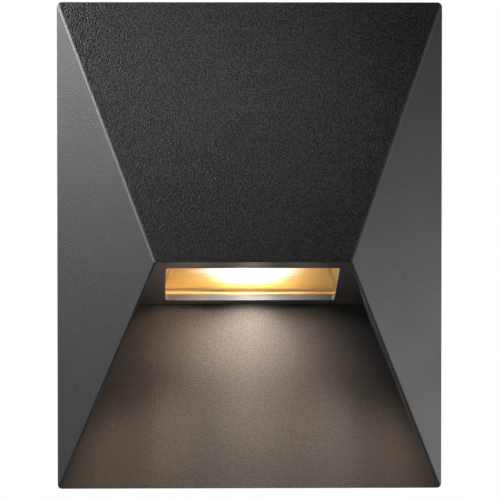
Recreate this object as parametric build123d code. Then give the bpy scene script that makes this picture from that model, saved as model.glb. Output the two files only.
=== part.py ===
from build123d import *
from math import atan2, cos, hypot, sin

# Outdoor wall light: a hipped die-cast lamp body that pulls off a pressed steel wall bracket.
# Sizes are in mm. Pieces are drawn with X to the right, Y up the wall and Z out of the wall,
# and are turned upright when they are written, so that the wall is Y = 0 and the front looks along -Y.
# The origin is the middle of the wall bracket, on the wall.

# Lamp body
body_width = 118.5
body_height = 150.0
projection = 46.0
rim_depth = 8.0
ridge_width = 58.9
ridge_below_middle = 3.4
bracket_above_middle = 14.0
corner_radius = 1.5
edge_radius = 0.6
shell_wall = 2.2

# Recess under the ridge
floor_depth = 7.0
ceiling_drop = 14.5
land_at_ridge = 0.5
land_at_foot = 1.0
rib_thickness = 1.6
rib_spacing = 26.0
rib_height = 2.2

# Light window, its seal and its rebate
window_width = 52.2
window_length = 32.0
window_behind_ridge = 5.8
window_corner = 1.0
rebate_depth = 0.5
seal_thickness = 0.5
glass_thickness = 2.0
glass_bearing = 2.5
glass_play = 0.3
glass_bevel = 0.2

# Reflector
reflector_wall = 1.2
reflector_height = 11.8
reflector_mouth_lip = 1.0
reflector_throat_width = 44.0
reflector_throat_length = 19.0
reflector_flange = 1.5
reflector_screw_spacing = 54.0

# LED carrier, board and emitter
carrier_sheet = 2.0
carrier_width = 64.0
carrier_bend = 2.0
carrier_clearance = 1.0
carrier_top = 8.0
carrier_screw_spacing = 44.0
carrier_screw_height = 3.0
carrier_hole_depth = 4.2
carrier_bite = 4.0
carrier_tail = 11.5
led_behind_window_middle = 0.7
board_width = 30.0
board_length = 15.0
board_thickness = 1.6
pad_thickness = 0.4
board_screw_spacing = 23.0
emitter_radius = 4.7
dam_width = 1.3
dam_height = 0.6
phosphor_height = 0.5

# Driver
driver_from_terminal = 12.75
driver_from_side = 18.25
driver_height = 20.0
driver_depth = 11.5
driver_middle = 22.0
driver_clearance = 2.0
driver_wall = 1.5
driver_tab = 6.6
driver_tab_width = 8.0
driver_tab_thickness = 2.0
potting_below_rim = 0.8

# Terminal block
terminal_from_side = 32.25
terminal_pitch = 9.5
terminal_length = 16.0
terminal_depth = 13.0
terminal_barrel_radius = 2.8
terminal_barrel_length = 15.0
terminal_wire_hole = 1.6
terminal_screw_offset = 4.0
terminal_well = 2.1
terminal_play = 0.1

# Leads
mains_lead_radius = 1.1
led_lead_radius = 0.75
strand_radius = 0.6
strand_length = 6.0
lead_below_front = 6.5
lead_bend = 3.0
led_lead_x = 18.5
led_lead_spread = 7.0
led_lead_below_front = (3.0, 8.0)
led_lead_run = 8.0
live_rise = 5.5
live_clear = 9.5
neutral_rise = 9.5
neutral_clear = 5.5
earth_rise = 5.5
lead_play = 0.15

# Earth point
earth_from_side = 13.25
earth_y = 3.0
ring_radius = 3.4
ring_thickness = 0.8
crimp_radius = 1.7
crimp_length = 5.0
washer_thickness = 0.6

# Screws: thread diameter, head radius and head height
m3 = 3.0
m3_head_radius = 2.75
m3_head_height = 1.8
m25 = 2.5
m25_head_radius = 2.2
m25_head_height = 1.3
thread_play = 0.05
hole_play = 0.2
boss_radius = 3.4
boss_hole_depth = 6.0
thread_bite = 5.0

# Wall bracket, side screws, grommet and gasket
bracket_sheet = 1.5
plate_width = 100.0
plate_height = 40.0
plate_corner = 4.0
ear_width = 16.0
ear_height = 6.6
slot_spacing = 64.0
slot_width = 5.2
slot_length = 14.2
dish_radius = 12.0
dish_rise = 1.5
cable_radius = 4.25
grommet_neck = 8.0
grommet_flange = 10.5
grommet_lip = 1.2
side_screw_level = 3.6
side_screw_length = 8.0
pocket_depth = 2.2
pocket_play = 0.5
pocket_pad = 2.0
clamp_play = 0.15
gasket_thickness = 1.2
gasket_width = 1.6
gasket_inset = 0.3
drain_gap = 10.0
drain_radius = 2.5

# Lines that follow from the sizes above
top_edge = body_height / 2 - bracket_above_middle
bottom_edge = top_edge - body_height
middle = (top_edge + bottom_edge) / 2
ridge = middle - ridge_below_middle
half_width = body_width / 2
pitch = (projection - rim_depth) / (top_edge - ridge)
terminal_middle_x = terminal_from_side - half_width
terminal_right = terminal_middle_x + 1.5 * terminal_pitch
driver_left = terminal_right + driver_from_terminal
driver_length = half_width - driver_from_side - driver_left
earth_x = earth_from_side - half_width
ceiling_foot = ridge - ceiling_drop
slope = atan2(ceiling_drop, projection - floor_depth)
ceiling = Plane((0, ridge, projection), x_dir=(1, 0, 0), z_dir=(0, cos(slope), -sin(slope)))
window_middle = window_behind_ridge + window_length / 2
led_middle = window_middle + led_behind_window_middle
glass_level = shell_wall - rebate_depth + seal_thickness
reflector_level = glass_level + glass_thickness
carrier_level = reflector_level + reflector_height
board_level = carrier_level - pad_thickness - board_thickness
low = (Align.CENTER, Align.CENTER, Align.MIN)
high = (Align.CENTER, Align.CENTER, Align.MAX)


def facet_level(y):
    """Distance from the wall to the inside of the top facet at a given height."""
    return projection - pitch * (y - ridge) - shell_wall * hypot(1, pitch)


carrier_face = facet_level(carrier_top) - carrier_clearance
driver_front = facet_level(driver_middle + driver_height / 2) - driver_clearance
lead_level = driver_front - lead_below_front


def on_ceiling(x, back, up):
    """Point given by its offset, its distance behind the ridge and its height above the recess ceiling."""
    return ceiling.from_local_coords((x, back, up))


def pan_screw(size, length, head_radius, head_height):
    """Pan-head screw with a hexagon socket: the seat is Z = 0, the head stands up and the shank hangs down."""
    head = Cylinder(head_radius, head_height, align=low)
    head = chamfer(head.edges().group_by(Axis.Z)[-1], head_height * 0.35)
    socket = Pos(0, 0, head_height * 0.4) * extrude(RegularPolygon(size * 0.45, 6), head_height)
    shank = Cylinder(size / 2, length, align=high)
    shank = chamfer(shank.edges().group_by(Axis.Z)[0], size * 0.12)
    return head + shank - socket


def from_wall_side(x, y, seat, screw):
    """Place a screw so that its head looks at the wall and its seat lies at the given level."""
    return Pos(x, y, seat) * Rot(180, 0, 0) * screw


def rounded_plate(width, length, radius, level, thickness):
    """Rounded rectangle lying along the recess ceiling, centred under the window."""
    face = Pos(0, window_middle, level) * RectangleRounded(width, length, radius)
    return extrude(ceiling * face, thickness)


def roof_block(inset, back):
    """Hipped block below the facets: a plan and a side profile crossed, all faces drawn in by inset."""
    behind = back - inset
    plan = Polyline(
        (-half_width, behind),
        (-half_width, rim_depth),
        (-ridge_width / 2, projection),
        (ridge_width / 2, projection),
        (half_width, rim_depth),
        (half_width, behind),
        close=True,
    )
    side = Polyline(
        (bottom_edge, behind),
        (bottom_edge, rim_depth),
        (ridge, projection),
        (top_edge, rim_depth),
        (top_edge, behind),
        close=True,
    )
    plan_face = make_face(plan)
    side_face = make_face(side)
    if inset > 0:
        plan_face = offset(plan_face, -inset, kind=Kind.INTERSECTION)
        side_face = offset(side_face, -inset, kind=Kind.INTERSECTION)
    across = extrude(Plane.XZ * plan_face, body_height, both=True)
    along = extrude(Plane.YZ * side_face, body_width, both=True)
    return across & along


def recess_block(outset):
    """Hollow under the ridge: a trapezoid seen from the front crossed with the ceiling and floor profile."""
    past = projection / 2
    half_ridge = ridge_width / 2 - land_at_ridge
    half_foot = half_width - land_at_foot
    flare = (half_foot - half_ridge) / (ridge - bottom_edge)
    lean = ceiling_drop / (projection - floor_depth)
    front = Polyline(
        (-half_ridge + flare * past, ridge + past),
        (half_ridge - flare * past, ridge + past),
        (half_foot + flare * past, bottom_edge - past),
        (-half_foot - flare * past, bottom_edge - past),
        close=True,
    )
    side = Polyline(
        (ridge + lean * past, projection + past),
        (ceiling_foot, floor_depth),
        (bottom_edge - past, floor_depth),
        (bottom_edge - past, projection + past),
        close=True,
    )
    front_face = make_face(front)
    side_face = make_face(side)
    if outset > 0:
        front_face = offset(front_face, outset, kind=Kind.INTERSECTION)
        side_face = offset(side_face, outset, kind=Kind.INTERSECTION)
    return extrude(front_face, 2 * projection) & extrude(Plane.YZ * side_face, body_width, both=True)


def outer_block():
    """The lamp's outer block with rounded outline corners, hips, ridge and rim edges."""
    outline = Pos(0, middle, gasket_thickness) * RectangleRounded(body_width, body_height, corner_radius)
    block = roof_block(0, gasket_thickness) & extrude(outline, projection)
    soft = [e for e in block.edges() if e.bounding_box().min.Z > rim_depth - 0.01]
    return fillet(soft, edge_radius)


def boss(x, y, face):
    """Round boss from a mounting face forward into the shell."""
    return Pos(x, y, face) * Cylinder(boss_radius, projection, align=low)


def blind_hole(x, y, face, size, depth):
    return Pos(x, y, face) * Cylinder(size / 2 + thread_play, depth, align=low)


def side_slot(radius, depth, start):
    """Slot in a side of the rim, open toward the wall, round at its front end and cut along X."""
    shape = Pos(0, side_screw_level) * Circle(radius)
    shape += Pos(0, side_screw_level / 2 - 1) * Rectangle(2 * radius, side_screw_level + 2)
    return Pos(start, 0, 0) * extrude(Plane.YZ * shape, depth)


def front_housing():
    """Die-cast shell: facets, rim, recess, window opening, ribs, bosses and the two screw pockets."""
    block = outer_block()
    cavity = roof_block(shell_wall, 0) - recess_block(shell_wall)
    shell = block - recess_block(0) - cavity
    rib_length = ceiling_foot - bottom_edge - shell_wall / 2
    for x in (-rib_spacing, 0, rib_spacing):
        rib_place = Pos(x, bottom_edge + shell_wall / 2 + rib_length / 2, floor_depth - shell_wall / 2)
        shell += rib_place * Box(rib_thickness, rib_length, rib_height + shell_wall / 2, align=high)
    for x, y, face, size, depth in mounting_points():
        shell += boss(x, y, face) & block
        shell -= blind_hole(x, y, face, size, depth)
    window = rounded_plate(window_width, window_length, window_corner, -shell_wall, 3 * shell_wall)
    rebate_width = window_width + 2 * (glass_bearing + glass_play)
    rebate_length = window_length + 2 * (glass_bearing + glass_play)
    rebate = rounded_plate(
        rebate_width, rebate_length, window_corner, shell_wall - rebate_depth, 2 * rebate_depth
    )
    shell = shell - window - rebate
    pad_height = rim_depth - gasket_thickness
    for side in (-1, 1):
        pad_x = side * (half_width - shell_wall - pocket_pad / 2)
        shell += Pos(pad_x, 0, gasket_thickness) * Box(pocket_pad, ear_width, pad_height, align=low)
        head = side_slot(m3_head_radius + pocket_play, 2 * pocket_depth, -pocket_depth)
        throat = side_slot(m3 / 2 + hole_play, shell_wall + pocket_pad + 2, -shell_wall - pocket_pad - 1)
        turn = Rot(0, 0, 0 if side > 0 else 180)
        shell -= turn * Pos(half_width, 0, 0) * (head + throat)
    drain = Pos(0, bottom_edge, gasket_thickness) * Rot(90, 0, 0) * Cylinder(drain_radius, 3 * shell_wall)
    return shell - drain


def mounting_points():
    """Bosses of the housing: place, face level, thread and hole depth of each."""
    tab_x = driver_tab / 2
    driver_right = driver_left + driver_length
    return [
        (-carrier_screw_spacing / 2, carrier_screw_height, carrier_face, m3, carrier_hole_depth),
        (carrier_screw_spacing / 2, carrier_screw_height, carrier_face, m3, carrier_hole_depth),
        (driver_left - tab_x, driver_middle, driver_front, m3, boss_hole_depth),
        (driver_right + tab_x, driver_middle, driver_front, m3, boss_hole_depth),
        (terminal_middle_x - terminal_pitch / 2, driver_middle, driver_front, m25, boss_hole_depth),
        (terminal_middle_x + terminal_pitch / 2, driver_middle, driver_front, m25, boss_hole_depth),
        (earth_x, earth_y, lead_level + crimp_radius, m3, boss_hole_depth),
    ]


def rear_gasket():
    """Foam strips on the rim, left open at the two screw pockets and at the drain."""
    outer = Pos(0, middle) * RectangleRounded(
        body_width - 2 * gasket_inset, body_height - 2 * gasket_inset, corner_radius
    )
    lost = 2 * (gasket_inset + gasket_width)
    inner = Pos(0, middle) * Rectangle(body_width - lost, body_height - lost)
    ring = extrude(outer - inner, gasket_thickness)
    pocket_gap = 2 * (m3_head_radius + pocket_play) + 2
    ring -= Box(2 * body_width, pocket_gap, 4 * gasket_thickness)
    ring -= Pos(0, bottom_edge, 0) * Box(drain_gap, 8 * gasket_width, 4 * gasket_thickness)
    return ring


def window_seal():
    outer = rounded_plate(
        window_width + 2 * glass_bearing,
        window_length + 2 * glass_bearing,
        window_corner,
        shell_wall - rebate_depth,
        seal_thickness,
    )
    hole = rounded_plate(
        window_width + glass_play,
        window_length + glass_play,
        window_corner,
        shell_wall - rebate_depth - seal_thickness,
        3 * seal_thickness,
    )
    return outer - hole


def light_window():
    """Clear toughened pane with polished edges, bedded on the seal."""
    pane = rounded_plate(
        window_width + 2 * glass_bearing,
        window_length + 2 * glass_bearing,
        window_corner,
        glass_level,
        glass_thickness,
    )
    broad = pane.faces().sort_by(SortBy.AREA)[-2:]
    return chamfer(broad.edges(), glass_bevel)


def reflector_funnel(grow):
    """Four-sided funnel from the pane up to the carrier, widened all round by grow."""
    mouth_width = window_width + 2 * reflector_mouth_lip + 2 * grow
    mouth_length = window_length + 2 * reflector_mouth_lip + 2 * grow
    throat_width = reflector_throat_width + 2 * grow
    throat_length = reflector_throat_length + 2 * grow
    mouth = Pos(0, window_middle, reflector_level) * RectangleRounded(mouth_width, mouth_length, 1.5 + grow)
    throat = Pos(0, led_middle, carrier_level) * RectangleRounded(throat_width, throat_length, 1.5 + grow)
    return loft([ceiling * mouth, ceiling * throat])


def reflector():
    """Moulded reflector: a funnel with a flange and two screw posts at its top."""
    post = m25 + reflector_wall
    flange_width = reflector_screw_spacing + 2 * post
    flange_length = reflector_throat_length + 2 * reflector_wall
    flange = Pos(0, led_middle, carrier_level) * RectangleRounded(flange_width, flange_length, 2)
    shape = reflector_funnel(reflector_wall) + extrude(ceiling * flange, -reflector_flange)
    for x in (-reflector_screw_spacing / 2, reflector_screw_spacing / 2):
        stem = Pos(x, led_middle, carrier_level) * Circle(post - reflector_wall / 2)
        shape += extrude(ceiling * stem, -reflector_height / 2)
    shape -= reflector_funnel(0)
    for x in (-reflector_screw_spacing / 2, reflector_screw_spacing / 2):
        hole = Pos(x, led_middle, carrier_level) * Circle(m25 / 2 + thread_play)
        shape -= extrude(ceiling * hole, -reflector_height / 2 + reflector_wall)
    return shape


def led_carrier():
    """Bent aluminium heat spreader: one leg along the ceiling holds the board, the other is screwed to the shell."""
    leg_middle = carrier_level + carrier_sheet / 2
    face_middle = carrier_face - carrier_sheet / 2
    tail = on_ceiling(0, led_middle + carrier_tail, leg_middle)
    knee = led_middle
    start = on_ceiling(0, knee, leg_middle)
    reach = (face_middle - start.Z) / cos(slope)
    corner = on_ceiling(0, knee - reach, leg_middle)
    line = FilletPolyline(
        (tail.Y, tail.Z),
        (corner.Y, corner.Z),
        (carrier_top, face_middle),
        radius=carrier_bend + carrier_sheet / 2,
    )
    sheet = extrude(Plane.YZ * trace(line, carrier_sheet), carrier_width / 2, both=True)
    for x in (-carrier_screw_spacing / 2, carrier_screw_spacing / 2):
        sheet -= Pos(x, carrier_screw_height, face_middle) * Cylinder(m3 / 2 + hole_play, 2 * carrier_sheet)
    for x in (-reflector_screw_spacing / 2, reflector_screw_spacing / 2):
        sheet -= carrier_hole(x, led_middle, m25 / 2 + hole_play)
    for x in (-board_screw_spacing / 2, board_screw_spacing / 2):
        sheet -= carrier_hole(x, led_middle, m25 / 2 + thread_play)
    for back in led_lead_rows():
        sheet -= carrier_hole(led_lead_x, back, led_lead_radius + 4 * lead_play)
    return sheet


def carrier_hole(x, back, radius):
    """Hole square through the carrier's board leg."""
    spot = Pos(x, back, carrier_level - carrier_sheet) * Circle(radius)
    return extrude(ceiling * spot, 3 * carrier_sheet)


def led_lead_rows():
    """Distances behind the ridge of the two LED leads."""
    return (led_middle - led_lead_spread / 2, led_middle + led_lead_spread / 2)


def board_plate(margin, level, thickness):
    """Plate of the board's outline, drawn in by a margin, with its two screw holes."""
    face = RectangleRounded(board_width - 2 * margin, board_length - 2 * margin, 1)
    for x in (-board_screw_spacing / 2, board_screw_spacing / 2):
        face -= Pos(x, 0) * Circle(m25 / 2 + hole_play)
    return extrude(ceiling * (Pos(0, led_middle, level) * face), thickness)


def emitter_dam():
    ring = Circle(emitter_radius + dam_width) - Circle(emitter_radius)
    return extrude(ceiling * (Pos(0, led_middle, board_level) * ring), -dam_height)


def emitter_phosphor():
    disc = Pos(0, led_middle, board_level) * Circle(emitter_radius)
    return extrude(ceiling * disc, -phosphor_height)


def ceiling_screws(spacing, level, screw, looks_up):
    """Pair of screws square to the ceiling, heads up or heads down."""
    turn = Rot(0, 0, 0) if looks_up else Rot(180, 0, 0)
    pair = []
    for x in (-spacing / 2, spacing / 2):
        pair.append(ceiling.location * Pos(x, led_middle, level) * turn * screw)
    return pair


def driver_case():
    """Potted driver's case, open toward the wall, with a screw tab at each end and holes for its leads."""
    back = driver_front - driver_depth
    centre = driver_left + driver_length / 2
    body = Pos(centre, driver_middle, back) * Box(driver_length, driver_height, driver_depth, align=low)
    body = fillet(body.edges().filter_by(Axis.Z), 2)
    tabs = Pos(centre, driver_middle, driver_front) * Box(
        driver_length + 2 * driver_tab, driver_tab_width, driver_tab_thickness, align=high
    )
    tabs = fillet(tabs.edges().filter_by(Axis.Z), 2)
    case = body + tabs - driver_fill(driver_depth)
    for x in (driver_left - driver_tab / 2, driver_left + driver_length + driver_tab / 2):
        case -= Pos(x, driver_middle, driver_front) * Cylinder(m3 / 2 + hole_play, 3 * driver_tab_thickness)
    for y in mains_lead_rows():
        entry = Pos(driver_left, y, lead_level) * Rot(0, 90, 0)
        case -= entry * Cylinder(mains_lead_radius + lead_play, 2 * driver_wall + 1)
    for level in led_lead_levels():
        entry = Pos(led_lead_x, driver_middle - driver_height / 2, level) * Rot(90, 0, 0)
        case -= entry * Cylinder(led_lead_radius + lead_play, 2 * driver_wall + 1)
    return case


def driver_fill(depth):
    """Hollow of the driver's case, from its floor toward the wall."""
    centre = driver_left + driver_length / 2
    shape = Box(driver_length - 2 * driver_wall, driver_height - 2 * driver_wall, depth, align=high)
    shape = fillet(shape.edges().filter_by(Axis.Z), 1)
    return Pos(centre, driver_middle, driver_front - driver_wall) * shape


def driver_potting():
    return driver_fill(driver_depth - driver_wall - potting_below_rim)


def mains_lead_rows():
    """Heights of the live and neutral leads at the driver."""
    return (driver_middle - driver_height / 5, driver_middle + driver_height / 5)


def led_lead_levels():
    """Levels of the two LED leads at the driver."""
    return [driver_front - below for below in led_lead_below_front]


def terminal_poles():
    return [terminal_middle_x + i * terminal_pitch for i in (-1, 0, 1)]


def terminal_body():
    """Three-pole block: a rounded hump per pole, barrels through it and screw wells open toward the wall."""
    back = driver_front - terminal_depth
    block = None
    for x in terminal_poles():
        cell = Box(terminal_pitch, terminal_length, terminal_depth, align=low)
        wall_corners = cell.edges().filter_by(Axis.Y).group_by(Axis.Z)[0]
        cell = Pos(x, driver_middle, back) * fillet(wall_corners, terminal_pitch / 5)
        block = cell if block is None else block + cell
    for x in terminal_poles():
        lane = Pos(x, driver_middle, lead_level) * Rot(90, 0, 0)
        block -= lane * Cylinder(terminal_barrel_radius + terminal_play, 2 * terminal_length)
        for y in (-terminal_screw_offset, terminal_screw_offset):
            block -= Pos(x, driver_middle + y, back) * Cylinder(
                terminal_well, lead_level - back, align=low
            )
    for x in terminal_screw_places():
        block -= Pos(x, driver_middle, back) * Cylinder(m25 / 2 + terminal_play, 3 * terminal_depth)
        block -= Pos(x, driver_middle, back) * Cylinder(
            m25_head_radius + hole_play, terminal_head_seat() - back, align=low
        )
    return block


def terminal_screw_places():
    return (terminal_middle_x - terminal_pitch / 2, terminal_middle_x + terminal_pitch / 2)


def terminal_head_seat():
    """Level on which the heads of the block's fixing screws sit."""
    return driver_front - terminal_depth + 2 * m25_head_height


def terminal_barrels():
    barrels = []
    for x in terminal_poles():
        lane = Pos(x, driver_middle, lead_level) * Rot(90, 0, 0)
        barrel = Cylinder(terminal_barrel_radius, terminal_barrel_length)
        barrel -= Cylinder(terminal_wire_hole, 2 * terminal_barrel_length)
        for y in (-terminal_screw_offset, terminal_screw_offset):
            barrel -= Pos(0, 0, y) * Rot(90, 0, 0) * Cylinder(
                m25 / 2 + thread_play, terminal_barrel_radius * 2, align=low
            )
        barrels.append(lane * barrel)
    return barrels


def terminal_clamp_screws():
    """Slotted clamp screws, two in each barrel."""
    length = terminal_barrel_radius + 2.2
    tip = lead_level - strand_radius - lead_play
    screw = Cylinder(m25 / 2, length, align=low)
    screw -= Pos(0, 0, length) * Box(0.6, 2 * m25, 1.6)
    screws = []
    for x in terminal_poles():
        for y in (-terminal_screw_offset, terminal_screw_offset):
            screws.append(Pos(x, driver_middle + y, tip) * Rot(180, 0, 0) * screw)
    return screws


def lead(points, radius, bends):
    """Insulated lead of straight runs joined by arcs."""
    path = FilletPolyline(*points, radius=bends)
    start = path.position_at(0)
    section = Plane(start, z_dir=path.tangent_at(0)) * Circle(radius)
    return sweep(section, path)


def strand(x):
    """Bare end of a lead, inside a terminal barrel."""
    place = Pos(x, driver_middle + terminal_length / 2, lead_level) * Rot(90, 0, 0)
    return place * Cylinder(strand_radius, strand_length, align=low)


def mains_lead(x, rise, drop_x, row):
    """Lead from a terminal up, across, down and into the driver's end."""
    top = driver_middle + terminal_length / 2
    points = [
        (x, top, lead_level),
        (x, top + rise, lead_level),
        (drop_x, top + rise, lead_level),
        (drop_x, row, lead_level),
        (driver_left + driver_wall, row, lead_level),
    ]
    return lead(points, mains_lead_radius, lead_bend) + strand(x)


def live_lead():
    return mains_lead(terminal_poles()[2], live_rise, driver_left - live_clear, mains_lead_rows()[0])


def neutral_lead():
    return mains_lead(terminal_poles()[1], neutral_rise, driver_left - neutral_clear, mains_lead_rows()[1])


def earth_lead():
    """Lead from the earth pole, up, across and down into the crimp of the ring terminal."""
    x = terminal_poles()[0]
    top = driver_middle + terminal_length / 2
    points = [
        (x, top, lead_level),
        (x, top + earth_rise, lead_level),
        (earth_x, top + earth_rise, lead_level),
        (earth_x, earth_y + ring_radius + crimp_length / 2, lead_level),
    ]
    return lead(points, mains_lead_radius, lead_bend) + strand(x)


def led_lead(row):
    """Lead from the driver down to the carrier, through it and along to the board's pad."""
    back = led_lead_rows()[row]
    level = led_lead_levels()[row]
    bottom = driver_middle - driver_height / 2
    pad_level = board_level - led_lead_radius
    points = [
        (led_lead_x, bottom + driver_wall, level),
        (led_lead_x, bottom - led_lead_run, level),
        on_ceiling(led_lead_x, back, carrier_level + 2.5 * carrier_sheet),
        on_ceiling(led_lead_x, back, pad_level),
        on_ceiling(board_screw_spacing / 2, back, pad_level),
    ]
    return lead(points, led_lead_radius, 2.0)


def earth_ring():
    """Ring terminal: a flat ring with a neck and a crimped barrel around the earth lead."""
    ring = Circle(ring_radius) + Pos(0, ring_radius) * Rectangle(2 * crimp_radius, 2 * ring_radius)
    ring -= Circle(m3 / 2 + hole_play)
    flat = Pos(earth_x, earth_y, lead_level + crimp_radius) * extrude(ring, -ring_thickness)
    barrel = Circle(crimp_radius) - Circle(mains_lead_radius + thread_play)
    lane = Pos(earth_x, earth_y + ring_radius, lead_level) * Rot(-90, 0, 0)
    inside = lane * Cylinder(mains_lead_radius + thread_play, 4 * crimp_length)
    return flat + lane * extrude(barrel, crimp_length) - inside


def earth_washer():
    level = lead_level + crimp_radius - ring_thickness
    ring = Circle(m3_head_radius) - Circle(m3 / 2 + hole_play)
    return Pos(earth_x, earth_y, level) * extrude(ring, -washer_thickness)


def ear_outside():
    """Distance of the outer face of a bracket ear from the middle."""
    return half_width - shell_wall - pocket_pad - clamp_play


def wall_bracket():
    """Pressed steel bracket: a plate with two slots, a dished cable hole and two threaded ears."""
    plate = extrude(RectangleRounded(plate_width, plate_height, plate_corner), bracket_sheet)
    ear_middle = ear_outside() - bracket_sheet / 2
    line = FilletPolyline(
        (0, bracket_sheet / 2),
        (ear_middle, bracket_sheet / 2),
        (ear_middle, ear_height),
        radius=bracket_sheet,
    )
    ear = extrude(Plane.XZ * trace(line, bracket_sheet), ear_width / 2, both=True)
    ear = fillet(ear.edges().filter_by(Axis.X).group_by(Axis.Z)[-1], 3)
    ear -= Pos(ear_middle, 0, side_screw_level) * Rot(0, 90, 0) * Cylinder(
        m3 / 2 + thread_play, 4 * bracket_sheet
    )
    dish = Cylinder(dish_radius + bracket_sheet, dish_rise + bracket_sheet, align=low)
    dish = fillet(dish.edges().group_by(Axis.Z)[-1], bracket_sheet)
    shape = plate + ear + mirror(ear, about=Plane.YZ) + dish
    shape -= Cylinder(dish_radius, 2 * dish_rise)
    shape -= Cylinder(grommet_neck + thread_play, 8 * bracket_sheet)
    for x in (-slot_spacing / 2, slot_spacing / 2):
        slot = Pos(x, 0) * SlotOverall(slot_length, slot_width)
        shape -= extrude(slot, 2 * bracket_sheet)
    return shape


def cable_grommet():
    """Rubber grommet that grips the dished plate between two lips and lets the cable in."""
    plate_back = dish_rise
    plate_front = dish_rise + bracket_sheet
    profile = Polyline(
        (cable_radius, plate_back - grommet_lip),
        (grommet_flange, plate_back - grommet_lip),
        (grommet_flange, plate_back),
        (grommet_neck, plate_back),
        (grommet_neck, plate_front),
        (grommet_flange, plate_front),
        (grommet_flange, plate_front + grommet_lip),
        (cable_radius, plate_front + grommet_lip),
        close=True,
    )
    ring = revolve(Plane.XZ * make_face(profile), Axis.Z)
    rims = ring.edges().filter_by(GeomType.CIRCLE).filter_by(lambda e: e.radius > grommet_flange - 0.01)
    return chamfer(rims.group_by(Axis.Z)[-1] + rims.group_by(Axis.Z)[0], grommet_lip / 3)


def side_screws():
    """Two screws that clamp the lamp body to the ears, their heads sunk in the rim's pockets."""
    screw = pan_screw(m3, side_screw_length, m3_head_radius, m3_head_height)
    seat = half_width - pocket_depth + clamp_play
    right = Pos(seat, 0, side_screw_level) * Rot(0, 90, 0) * screw
    left = Pos(-seat, 0, side_screw_level) * Rot(0, -90, 0) * screw
    return [left, right]


def carrier_screws():
    screw = pan_screw(m3, carrier_sheet + carrier_bite, m3_head_radius, m3_head_height)
    seat = carrier_face - carrier_sheet
    places = (-carrier_screw_spacing / 2, carrier_screw_spacing / 2)
    return [from_wall_side(x, carrier_screw_height, seat, screw) for x in places]


def driver_screws():
    screw = pan_screw(m3, driver_tab_thickness + thread_bite, m3_head_radius, m3_head_height)
    places = (driver_left - driver_tab / 2, driver_left + driver_length + driver_tab / 2)
    return [from_wall_side(x, driver_middle, driver_front - driver_tab_thickness, screw) for x in places]


def terminal_block_screws():
    reach = driver_front - terminal_head_seat() + thread_bite
    screw = pan_screw(m25, reach, m25_head_radius, m25_head_height)
    return [from_wall_side(x, driver_middle, terminal_head_seat(), screw) for x in terminal_screw_places()]


def earth_screw():
    screw = pan_screw(m3, ring_thickness + washer_thickness + thread_bite, m3_head_radius, m3_head_height)
    seat = lead_level + crimp_radius - ring_thickness - washer_thickness
    return from_wall_side(earth_x, earth_y, seat, screw)


def board_screws():
    screw = pan_screw(m25, board_thickness + pad_thickness + carrier_sheet, m25_head_radius, m25_head_height)
    return ceiling_screws(board_screw_spacing, board_level, screw, False)


def reflector_screws():
    screw = pan_screw(m25, carrier_sheet + reflector_height / 3, m25_head_radius, m25_head_height)
    return ceiling_screws(reflector_screw_spacing, carrier_level + carrier_sheet, screw, True)


def write(name, shape):
    """Turn a piece upright, so that the wall is Y = 0, and write it."""
    solids = []
    for piece in shape if isinstance(shape, list) else [shape]:
        solids.extend((Rot(90, 0, 0) * piece).solids())
    export_step(solids[0] if len(solids) == 1 else Compound(children=solids), f"parts/{name}.step")


write("front_housing", front_housing())
write("rear_gasket", rear_gasket())
write("window_seal", window_seal())
write("light_window", light_window())
write("reflector", reflector())
write("reflector_screws", reflector_screws())
write("led_carrier", led_carrier())
write("carrier_screws", carrier_screws())
write("thermal_pad", board_plate(1, board_level + board_thickness, pad_thickness))
write("led_board", board_plate(0, board_level, board_thickness))
write("emitter_dam", emitter_dam())
write("emitter_phosphor", emitter_phosphor())
write("board_screws", board_screws())
write("driver_case", driver_case())
write("driver_potting", driver_potting())
write("driver_screws", driver_screws())
write("terminal_body", terminal_body())
write("terminal_barrels", terminal_barrels())
write("terminal_clamp_screws", terminal_clamp_screws())
write("terminal_block_screws", terminal_block_screws())
write("live_lead", live_lead())
write("neutral_lead", neutral_lead())
write("earth_lead", earth_lead())
write("led_lead_positive", led_lead(0))
write("led_lead_negative", led_lead(1))
write("earth_ring", earth_ring())
write("earth_washer", earth_washer())
write("earth_screw", earth_screw())
write("wall_bracket", wall_bracket())
write("cable_grommet", cable_grommet())
write("side_screws", side_screws())
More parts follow.
